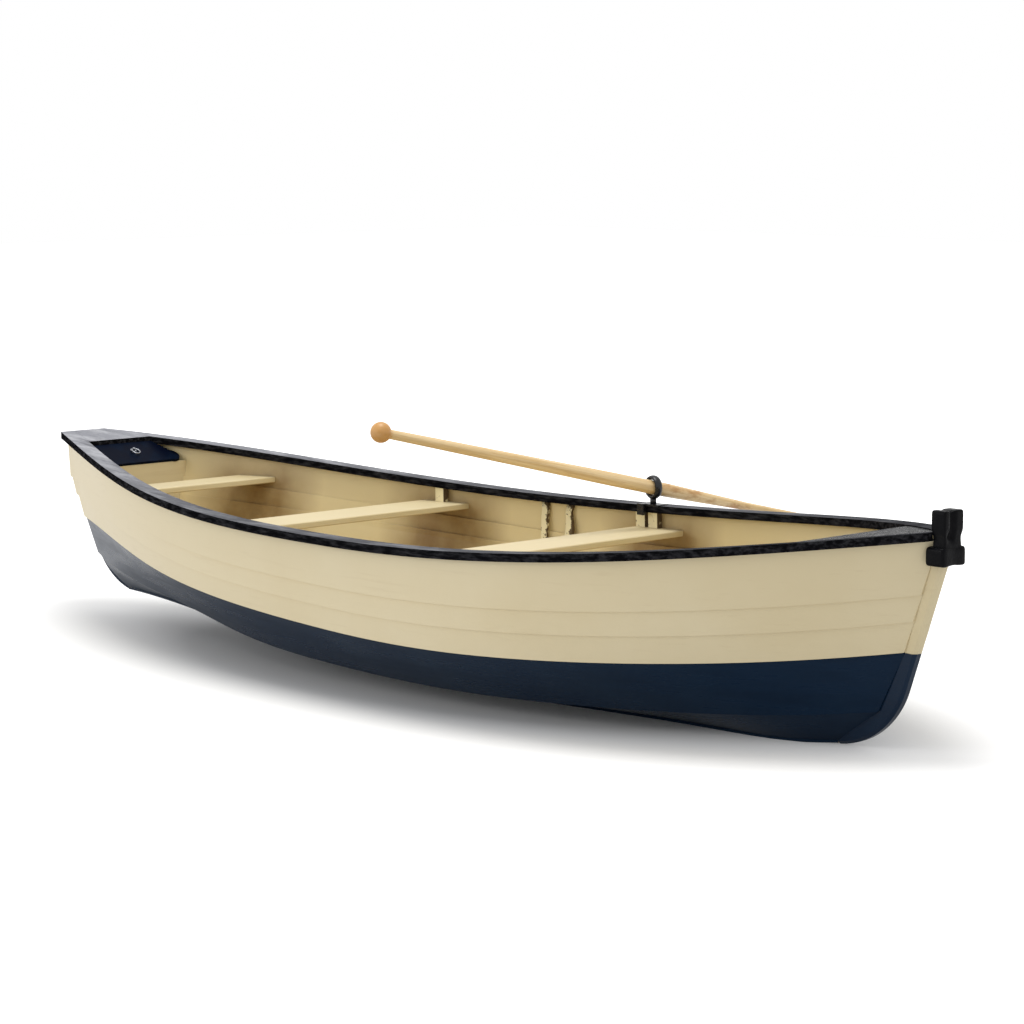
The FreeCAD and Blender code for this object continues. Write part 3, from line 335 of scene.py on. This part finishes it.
def post_navy():
    """Gloss navy all over, for the sternpost."""
    material, tree, shader, place = new_material("post_navy")
    navy, rough, scuff = navy_layers(tree, place)
    tree.links.new(navy, shader.inputs["Base Color"])
    tree.links.new(rough, shader.inputs["Roughness"])
    shader.inputs["Specular IOR Level"].default_value = GLOSS_NAVY
    bump(tree, shader, scuff, strength=0.10, distance=0.0010)
    return material


def panel_navy():
    """Deep navy gloss on the back panel, dusty in places."""
    material, tree, shader, place = new_material("panel_navy")
    scuff = noise(tree, place, scale=18.0, detail=6.0)
    colour = blend_colour(tree, ramp(tree, scuff, 0.45, 0.85, first=0.0, last=0.5), PANEL_NAVY, NAVY)
    tree.links.new(colour, shader.inputs["Base Color"])
    tree.links.new(ramp(tree, scuff, 0.3, 0.8, first=0.34, last=0.5), shader.inputs["Roughness"])
    shader.inputs["Specular IOR Level"].default_value = GLOSS_PANEL
    bump(tree, shader, scuff, strength=0.1, distance=0.001)
    return material


def two_tone(name, paint_height, forward_share, upward_share, least):
    """Cream above the paint's edge and on faces that look into the boat, navy below it outside."""
    material, tree, shader, place = new_material(name)
    colour, height = cream_layers(tree, place)[:2]
    navy = navy_layers(tree, place)[0]
    wander = noise(tree, place, scale=60.0, detail=3.0)
    line = sums(tree, "ADD", place_axis(tree, place, "Z"), sums(tree, "MULTIPLY", wander, 0.003))
    cream = ramp(tree, line, paint_height, paint_height + 0.002)
    forward = sums(tree, "MULTIPLY", normal_axis(tree, "X"), forward_share)
    upward = sums(tree, "MULTIPLY", normal_axis(tree, "Z"), upward_share)
    inward = ramp(tree, sums(tree, "ADD", forward, upward), least - 0.1, least + 0.1)
    cream = sums(tree, "MAXIMUM", cream, inward)
    tree.links.new(blend_colour(tree, cream, navy, colour), shader.inputs["Base Color"])
    tree.links.new(ramp(tree, cream, 0.0, 1.0, first=0.28, last=0.48), shader.inputs["Roughness"])
    shader.inputs["Specular IOR Level"].default_value = GLOSS_TWO_TONE
    bump(tree, shader, height, strength=0.2, distance=0.0012)
    return material


def rubbed_sheen_black():
    """Black paint on rails and stern deck, streaky grey along their tops, most at the stern and least at the bow:
    partly rubbed paint and partly a painted reflection, since the paint itself mirrors nothing.
    """
    material, tree, shader, place = new_material("rubbed_sheen_black")
    drawn_out = mapped(tree, place, (3.0, 34.0, 34.0))
    streaks = noise(tree, drawn_out, scale=1.0, detail=8.0, rough=0.62, distortion=0.5)
    patches = noise(tree, mapped(tree, place, (5.0, 14.0, 14.0)), scale=1.0, detail=8.0, rough=0.65)
    fine = noise(tree, mapped(tree, place, (22.0, 240.0, 240.0)), scale=1.0, detail=5.0, rough=0.6)
    chips = noise(tree, mapped(tree, place, (14.0, 70.0, 90.0)), scale=1.0, detail=8.0, rough=0.7)
    upward = ramp(tree, normal_axis(tree, "Z"), 0.55, 0.9)
    along = place_axis(tree, place, "X")
    # Painted reflection with the rubbing: the grey on the tops grows towards the stern
    stern_wear_and_sheen = ramp(tree, along, -1.75, -0.60, first=1.0, last=0.34)
    bow_saved = ramp(tree, along, 0.70, 1.60, first=0.0, last=0.24)
    wear_and_sheen = sums(tree, "SUBTRACT", stern_wear_and_sheen, bow_saved)
    rubbed = sums(tree, "MULTIPLY", sums(tree, "MULTIPLY", ramp(tree, streaks, 0.12, 0.46), upward), wear_and_sheen)
    pale = sums(tree, "MULTIPLY", ramp(tree, patches, 0.46, 0.68, first=0.0, last=0.85), rubbed)
    scuffs = ramp(tree, chips, 0.46, 0.70, first=0.0, last=0.55)
    colour = blend_colour(tree, scuffs, BLACK, BLACK_SCUFFED)
    colour = blend_colour(tree, rubbed, colour, RUBBED_AND_SHEEN)
    colour = blend_colour(tree, pale, colour, PALE_WEAR_AND_HIGHLIGHT)
    scratches = sums(tree, "MULTIPLY", ramp(tree, fine, 0.56, 0.72, first=0.0, last=0.35), upward)
    colour = blend_colour(tree, scratches, colour, BLACK)
    tree.links.new(colour, shader.inputs["Base Color"])
    polish = ramp(tree, along, 0.80, 1.50, first=0.30, last=0.14)
    rough = sums(tree, "ADD", polish, sums(tree, "MULTIPLY", rubbed, 0.2))
    tree.links.new(rough, shader.inputs["Roughness"])
    shader.inputs["Specular IOR Level"].default_value = GLOSS_RUBBED
    height = sums(tree, "ADD", streaks, sums(tree, "MULTIPLY", sums(tree, "ADD", fine, chips), 0.5))
    bump(tree, shader, height, strength=0.55, distance=0.003)
    return material


def collar_black():
    """Moulded black collar and post, gloss with fine pitting."""
    material, tree, shader, place = new_material("collar_black")
    pits = noise(tree, place, scale=160.0, detail=4.0)
    broad = noise(tree, place, scale=24.0, detail=5.0)
    colour = blend_colour(tree, ramp(tree, broad, 0.5, 0.8, first=0.0, last=0.6), BLACK, BLACK_DULL)
    tree.links.new(colour, shader.inputs["Base Color"])
    tree.links.new(ramp(tree, broad, 0.3, 0.7, first=0.24, last=0.42), shader.inputs["Roughness"])
    shader.inputs["Specular IOR Level"].default_value = GLOSS_COLLAR
    height = sums(tree, "ADD", pits, sums(tree, "MULTIPLY", broad, 3.0))
    bump(tree, shader, height, strength=0.45, distance=0.0016)
    return material


def tarred_black():
    """Thick lumpy black gloss on the breasthook, with painted highlights as small light patches on its lumps."""
    material, tree, shader, place = new_material("tarred_black")
    drawn_out = mapped(tree, place, (26.0, 44.0, 30.0))
    lumps = noise(tree, drawn_out, scale=1.0, detail=7.0, rough=0.6, distortion=0.8)
    # Painted highlights: light patches on the lumps, the paint itself mirroring almost nothing
    colour = blend_colour(tree, ramp(tree, lumps, 0.62, 0.74, first=0.0, last=0.45), BLACK, PALE_WEAR_AND_HIGHLIGHT)
    tree.links.new(colour, shader.inputs["Base Color"])
    tree.links.new(ramp(tree, lumps, 0.3, 0.7, first=0.16, last=0.40), shader.inputs["Roughness"])
    shader.inputs["Specular IOR Level"].default_value = GLOSS_TAR
    bump(tree, shader, lumps, strength=1.0, distance=0.008)
    return material


def metal(name, colour, rough, metallic, relief):
    """A cast or polished metal with slight mottling."""
    material, tree, shader, place = new_material(name)
    mottle = noise(tree, place, scale=120.0, detail=5.0)
    dark = tuple(channel * 0.55 for channel in colour[:3]) + (1,)
    mottled = blend_colour(tree, ramp(tree, mottle, 0.4, 0.75), colour, dark)
    tree.links.new(mottled, shader.inputs["Base Color"])
    tree.links.new(ramp(tree, mottle, 0.3, 0.7, first=rough, last=rough + 0.15), shader.inputs["Roughness"])
    shader.inputs["Metallic"].default_value = metallic
    bump(tree, shader, mottle, strength=relief, distance=0.0006)
    return material


def oar_wood(middle, heading, slope):
    """Varnished spruce with its grain along the oar, handled brown at the knob and by the rowlock."""
    # Metres along the oar from its rowlock, counted outboard
    rubbed_from = 0.03
    rubbed_to = 0.42
    knob_from = -1.045
    knob_to = -1.020
    material, tree, shader, place = new_material("oar_wood")
    turn = tree.nodes.new("ShaderNodeMapping")
    turn.vector_type = "TEXTURE"
    turn.inputs["Location"].default_value = middle
    turn.inputs["Rotation"].default_value = (0.0, slope, heading)
    tree.links.new(place, turn.inputs["Vector"])
    along = turn.outputs["Vector"]
    drawn_out = mapped(tree, along, (3.0, 90.0, 90.0))
    grain = noise(tree, drawn_out, scale=1.0, detail=6.0, rough=0.6, distortion=0.4)
    pores = noise(tree, mapped(tree, along, (24.0, 500.0, 500.0)), scale=1.0, detail=3.0)
    colour = blend_colour(tree, ramp(tree, grain, 0.32, 0.68), SPRUCE_PALE, SPRUCE)
    colour = blend_colour(tree, ramp(tree, pores, 0.58, 0.8, first=0.0, last=0.45), colour, SPRUCE_DARK)
    reach = place_axis(tree, along, "X")
    mottle = noise(tree, mapped(tree, along, (18.0, 40.0, 40.0)), scale=1.0, detail=6.0)
    outboard = band(tree, reach, rubbed_from, rubbed_to, soft=0.06)
    rubbed = sums(tree, "MULTIPLY", outboard, ramp(tree, mottle, 0.48, 0.66, first=0.0, last=0.75))
    colour = blend_colour(tree, rubbed, colour, SPRUCE_DARK)
    handled = sums(tree, "MULTIPLY", ramp(tree, reach, knob_from, knob_to, first=1.0, last=0.0), 0.85)
    colour = blend_colour(tree, handled, colour, KNOB_TAN)
    tree.links.new(colour, shader.inputs["Base Color"])
    tree.links.new(ramp(tree, grain, 0.3, 0.7, first=0.36, last=0.5), shader.inputs["Roughness"])
    bump(tree, shader, sums(tree, "ADD", grain, pores), strength=0.2, distance=0.0006)
    return material


def dress(name, material):
    """Give a node's object a material in each of its slots."""
    piece = nodes[name]
    for slot in piece.material_slots:
        slot.material = material
    if not piece.material_slots:
        piece.data.materials.append(material)


# Seen from above, the oar lies square to its own hinge
tilt_place = Vector(joints["oar_tilt"]["pos_m"])
tilt_axis = joints["oar_tilt"]["axis"]
oar_heading = math.atan2(-tilt_axis[0], tilt_axis[1])

# Materials on the nodes
finishes = {
    "cream_paint": plank_cream(),
    "bottom_paint": bottom_paint(),
    "navy_paint": panel_navy(),
    "stem_paint": two_tone("stem_paint", PAINT_HEIGHT_BOW, forward_share=-1.0, upward_share=1.0, least=0.6),
    "black_varnish": rubbed_sheen_black(),
    "collar_black": collar_black(),
    "chrome": metal("chrome", CHROME_GREY, rough=0.12, metallic=1.0, relief=0.05),
    "galvanised": metal("blackened_iron", IRON_BLACK, rough=0.22, metallic=0.3, relief=0.5),
    "steel": metal("blackened_bolt", BOLT_BLACK, rough=0.30, metallic=0.3, relief=0.2),
    "oar_wood": oar_wood(tilt_place, oar_heading, OAR_SLOPE),
}
for entry in frame["record"]["subparts"]:
    dress(entry["node"], finishes[entry["material_slot"]])
seat_paint = board_cream()
chipped_shaded_paint = chipped_shaded_cream()
for name in nodes:
    if name.startswith("thwart_"):
        dress(name, seat_paint)
    if name.startswith(("rib_", "knee_")):
        dress(name, chipped_shaded_paint)
dress("stern_bulkhead", seat_paint)
dress("sternpost", post_navy())
transom_paint = two_tone(
    "transom_paint", PAINT_HEIGHT_STERN, forward_share=1.0, upward_share=0.0, least=-0.4
)
dress("transom", transom_paint)
dress("breasthook", tarred_black())


def start_piece(name):
    """Name the new primitive and settle its place in its mesh."""
    piece = bpy.context.object
    piece.name = name
    bpy.ops.object.transform_apply(location=True, rotation=True, scale=True)
    return piece


def gridded_block(name, node, cuts):
    """A block of a node's own size with each face cut into a grid."""
    low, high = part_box(node)
    bpy.ops.object.select_all(action="DESELECT")
    bpy.ops.mesh.primitive_cube_add(size=1.0, location=(low + high) / 2.0, scale=high - low)
    piece = start_piece(name)
    bpy.ops.object.mode_set(mode="EDIT")
    bpy.ops.mesh.select_all(action="SELECT")
    bpy.ops.mesh.subdivide(number_cuts=cuts)
    return piece


def edit_where(piece, wanted):
    """Enter edit mode with only the vertices chosen by their place selected."""
    bpy.ops.object.mode_set(mode="EDIT")
    bpy.ops.mesh.select_mode(type="VERT")
    bpy.ops.mesh.select_all(action="DESELECT")
    bpy.ops.object.mode_set(mode="OBJECT")
    for vertex in piece.data.vertices:
        vertex.select = wanted(vertex.co)
    bpy.ops.object.mode_set(mode="EDIT")


def swell(piece, wanted, factors, centre):
    """Draw the chosen vertices out from a centre, or in towards it, by a factor along each axis."""
    edit_where(piece, wanted)
    bpy.ops.transform.resize(value=factors, center_override=centre)


def push(piece, wanted, step):
    """Move the chosen vertices by a step."""
    edit_where(piece, wanted)
    bpy.ops.transform.translate(value=step)


def round_off(piece, levels):
    """Soften a blocky piece into a casting."""
    bpy.ops.object.mode_set(mode="OBJECT")
    rounding = piece.modifiers.new("rounding", "SUBSURF")
    rounding.levels = levels
    rounding.render_levels = levels
    bpy.ops.object.modifier_apply(modifier="rounding")


def finish_piece(piece, material, body):
    """Leave edit mode, smooth the piece, dress it and let it ride on its body."""
    bpy.ops.object.mode_set(mode="OBJECT")
    bpy.ops.object.shade_smooth()
    piece.data.materials.append(material)
    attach(piece, body)


# Mooring post: a casting with a waist above the collar and a fold down its forward face
WAIST_TOP_SHARE = 0.30
WAIST_NARROWING = (0.86, 0.86, 1.0)
FOOT_TOP_SHARE = 0.12
FOOT_FLARE = (1.10, 1.10, 1.0)
FOOT_SINK = 0.012
FOOT_REACH = 0.001
FOLD_OFFSET = 0.034
FOLD_HALF_WIDTH = 0.009
FOLD_REACH = 0.012
FOLD_FOOT = 0.020
FOLD_DEPTH = 0.014
FOLD_SAG = 0.003
NOTCH_DEPTH = 0.006
NOTCH_REACH = 0.004
post_low, post_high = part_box("mooring_post")
post_height = post_high.z - post_low.z
post_foot = ((post_low.x + post_high.x) / 2.0, (post_low.y + post_high.y) / 2.0, post_low.z)
fold_line = post_low.y + FOLD_OFFSET
post = gridded_block("post_casting", "mooring_post", cuts=6)
swell(post, lambda spot: spot.z < post_low.z + WAIST_TOP_SHARE * post_height, WAIST_NARROWING, post_foot)
swell(post, lambda spot: spot.z < post_low.z + FOOT_TOP_SHARE * post_height, FOOT_FLARE, post_foot)


def on_fold(spot):
    """Whether a vertex of the post lies in the strip that folds inwards."""
    return abs(spot.y - fold_line) < FOLD_HALF_WIDTH


def on_forward_fold(spot):
    """Whether a vertex lies in that strip on the post's forward face, clear of its foot."""
    forward = spot.x > post_high.x - FOLD_REACH
    return forward and on_fold(spot) and spot.z > post_low.z + FOLD_FOOT


push(post, on_forward_fold, (-FOLD_DEPTH, 0.0, -FOLD_SAG))
push(post, lambda spot: spot.z > post_high.z - NOTCH_REACH and on_fold(spot), (0.0, 0.0, -NOTCH_DEPTH))
push(post, lambda spot: spot.z < post_low.z + FOOT_REACH, (0.0, 0.0, -FOOT_SINK))
round_off(post, levels=2)
finish_piece(post, finishes["collar_black"], "hull")
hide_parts("mooring_post")

# Stemhead collar: a soft-cornered casting, pinched between its two ends
PINCH_SHARE = 0.25
PINCH = (0.93, 1.0, 0.90)
CORNER_WIDTH = 0.03
CORNER_TUCK = (1.0, 0.94, 1.0)
EDGE_DEPTH = 0.01
TOP_TAPER = (0.96, 0.95, 1.0)
collar_low, collar_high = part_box("stemhead_collar")
collar_middle = (collar_low + collar_high) / 2.0
pinch_reach = PINCH_SHARE * (collar_high.y - collar_low.y)
collar = gridded_block("collar_casting", "stemhead_collar", cuts=4)
swell(collar, lambda spot: abs(spot.y - collar_middle.y) < pinch_reach, PINCH, collar_middle)


def on_low_corner(spot):
    """Whether a vertex of the collar lies on its lower starboard corner."""
    return spot.z < collar_low.z + EDGE_DEPTH and spot.y < collar_low.y + CORNER_WIDTH


swell(collar, on_low_corner, CORNER_TUCK, collar_middle)
swell(collar, lambda spot: spot.z > collar_high.z - EDGE_DEPTH, TOP_TAPER, collar_middle)
round_off(collar, levels=3)
finish_piece(collar, finishes["collar_black"], "hull")
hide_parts("stemhead_collar")

# Ribs: the same battens with their edges gone wavy where the paint has lifted and chipped
RIB_CUTS = 7
MERGE_DISTANCE = 0.00002
WAVE_LENGTH = 0.045
WAVE_DETAIL = 3
WAVE_HEIGHT = 0.030
for name in ("rib_aft_port", "rib_aft_starboard", "rib_fore_port", "rib_fore_starboard"):
    bpy.ops.object.select_all(action="DESELECT")
    nodes[name].select_set(True)
    bpy.context.view_layer.objects.active = nodes[name]
    bpy.ops.object.duplicate()
    rib = bpy.context.object
    rib.name = name + "_chipped"
    rib.data.materials.clear()
    bpy.ops.object.mode_set(mode="EDIT")
    bpy.ops.mesh.select_all(action="SELECT")
    bpy.ops.mesh.remove_doubles(threshold=MERGE_DISTANCE)
    bpy.ops.mesh.subdivide(number_cuts=RIB_CUTS)
    bpy.ops.object.mode_set(mode="OBJECT")
    lifted = bpy.data.textures.new(name + "_lift", "CLOUDS")
    lifted.noise_scale = WAVE_LENGTH
    lifted.noise_depth = WAVE_DETAIL
    waves = rib.modifiers.new("waves", "DISPLACE")
    waves.texture = lifted
    waves.texture_coords = "LOCAL"
    waves.direction = "X"
    waves.mid_level = 0.5
    waves.strength = WAVE_HEIGHT
    bpy.ops.object.modifier_apply(modifier="waves")
    finish_piece(rib, chipped_shaded_paint, "hull")
    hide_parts(name)

# Rowlock: a broad cast band round the oar, on a short round neck
RING_MAJOR = 0.0333
RING_MINOR = 0.0067
BREADTH_TO_THICKNESS = 2.0
LOOM_DROP = 0.001683
NECK_RADIUS = 0.0105
NECK_IN_SOCKET = 0.006
ring_centre = tilt_place + Vector((0.0, 0.0, LOOM_DROP))
bpy.ops.object.select_all(action="DESELECT")
bpy.ops.mesh.primitive_torus_add(
    major_radius=RING_MAJOR,
    minor_radius=RING_MINOR,
    major_segments=72,
    minor_segments=20,
    location=ring_centre,
)
ring = start_piece("rowlock_band")
swell(ring, lambda spot: True, (1.0, 1.0, BREADTH_TO_THICKNESS), ring_centre)
bpy.ops.transform.rotate(value=math.pi / 2.0, orient_axis="Y", center_override=ring_centre)
bpy.ops.transform.rotate(value=-oar_heading, orient_axis="Z", center_override=ring_centre)
bpy.ops.object.mode_set(mode="OBJECT")
neck_top = ring_centre.z - RING_MAJOR
neck_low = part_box("rowlock_socket")[1].z - NECK_IN_SOCKET
bpy.ops.object.select_all(action="DESELECT")
bpy.ops.mesh.primitive_cylinder_add(
    vertices=48,
    radius=NECK_RADIUS,
    depth=neck_top - neck_low,
    location=(ring_centre.x, ring_centre.y, (neck_top + neck_low) / 2.0),
)
neck = start_piece("rowlock_neck")
finish_piece(neck, finishes["galvanised"], "rowlock_arm")
finish_piece(ring, finishes["galvanised"], "rowlock_arm")
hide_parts("rowlock")


def camera_or_gloss(tree):
    """1 where the camera or a mirroring surface looks, 0 where plain light falls."""
    rays = tree.nodes.new("ShaderNodeLightPath")
    return sums(tree, "MAXIMUM", rays.outputs["Is Camera Ray"], rays.outputs["Is Glossy Ray"])


# Floor: white, glowing more with distance from the boat so that only a soft shadow shows
FLOOR_SIDE = 60.0
FLOOR_TONE = 0.74
GLOW_NEAR = 0.02
GLOW_OPEN = 0.50
GLOW_FULL = 1.0
HULL_EDGE = 0.55
SHADOW_EDGE = 1.10
GLOW_FAR = 6.0
LENGTH_SHARE = 0.45
bpy.ops.object.select_all(action="DESELECT")
bpy.ops.mesh.primitive_plane_add(size=FLOOR_SIDE, location=(0.0, 0.0, 0.0))
floor = bpy.context.object
floor.name = "floor"
material, tree, shader, place = new_material("floor_white")
shader.inputs["Base Color"].default_value = (FLOOR_TONE, FLOOR_TONE, FLOOR_TONE, 1)
shader.inputs["Roughness"].default_value = 0.9
shader.inputs["Emission Color"].default_value = (1, 1, 1, 1)
# Distance from the middle, counted less along the boat so that the glow follows the hull
away = tree.nodes.new("ShaderNodeVectorMath")
away.operation = "LENGTH"
tree.links.new(mapped(tree, place, (LENGTH_SHARE, 1.0, 0.0)), away.inputs[0])
distance = away.outputs["Value"]
near_glow = ramp(tree, distance, HULL_EDGE, SHADOW_EDGE, first=GLOW_NEAR, last=GLOW_OPEN)
far_glow = ramp(tree, distance, SHADOW_EDGE, GLOW_FAR, first=0.0, last=GLOW_FULL - GLOW_OPEN)
glow = sums(tree, "MULTIPLY", camera_or_gloss(tree), sums(tree, "ADD", near_glow, far_glow))
tree.links.new(glow, shader.inputs["Emission Strength"])
floor.data.materials.append(material)

# World: white to the camera and to gloss, a plain level of light on the object
LIGHT_LEVEL = 0.71
world = bpy.data.worlds.new("studio")
bpy.context.scene.world = world
world.use_nodes = True
tree = world.node_tree
background = tree.nodes["Background"]
level = ramp(tree, camera_or_gloss(tree), 0.0, 1.0, first=LIGHT_LEVEL, last=1.0)
tree.links.new(level, background.inputs["Strength"])
background.inputs["Color"].default_value = (1, 1, 1, 1)


def softbox(name, place, target, size, power):
    """A large soft lamp aimed at a point."""
    lamp = bpy.data.lights.new(name, "AREA")
    lamp.shape = "DISK"
    lamp.size = size
    lamp.energy = power
    item = bpy.data.objects.new(name, lamp)
    item.location = place
    item.rotation_euler = (Vector(target) - Vector(place)).to_track_quat("-Z", "Y").to_euler()
    bpy.context.scene.collection.objects.link(item)


softbox("key", place=(0.0, -0.2, 7.0), target=(0.0, 0.0, 0.3), size=3.6, power=265.0)
softbox("fill", place=(-4.0, -8.0, 3.0), target=(0.2, 0.0, 0.3), size=3.0, power=110.0)

# Camera, off the starboard bow and above the rails
CAMERA_PLACE = (7.420, -6.924, 1.812)
CAMERA_TURN = math.radians(45.9)
CAMERA_DIP = math.radians(7.2)
FOCAL_PIXELS = 3121.0
FRAME_PIXELS = 1024.0
SENSOR_WIDTH = 36.0
lens = bpy.data.cameras.new("camera")
lens.sensor_width = SENSOR_WIDTH
lens.lens = SENSOR_WIDTH * FOCAL_PIXELS / FRAME_PIXELS
lens.clip_end = 100.0
camera = bpy.data.objects.new("camera", lens)
camera.location = CAMERA_PLACE
camera.rotation_euler = Euler((math.pi / 2.0 - CAMERA_DIP, 0.0, CAMERA_TURN))
bpy.context.scene.collection.objects.link(camera)
bpy.context.scene.camera = camera
bpy.context.scene.view_settings.view_transform = "Standard"
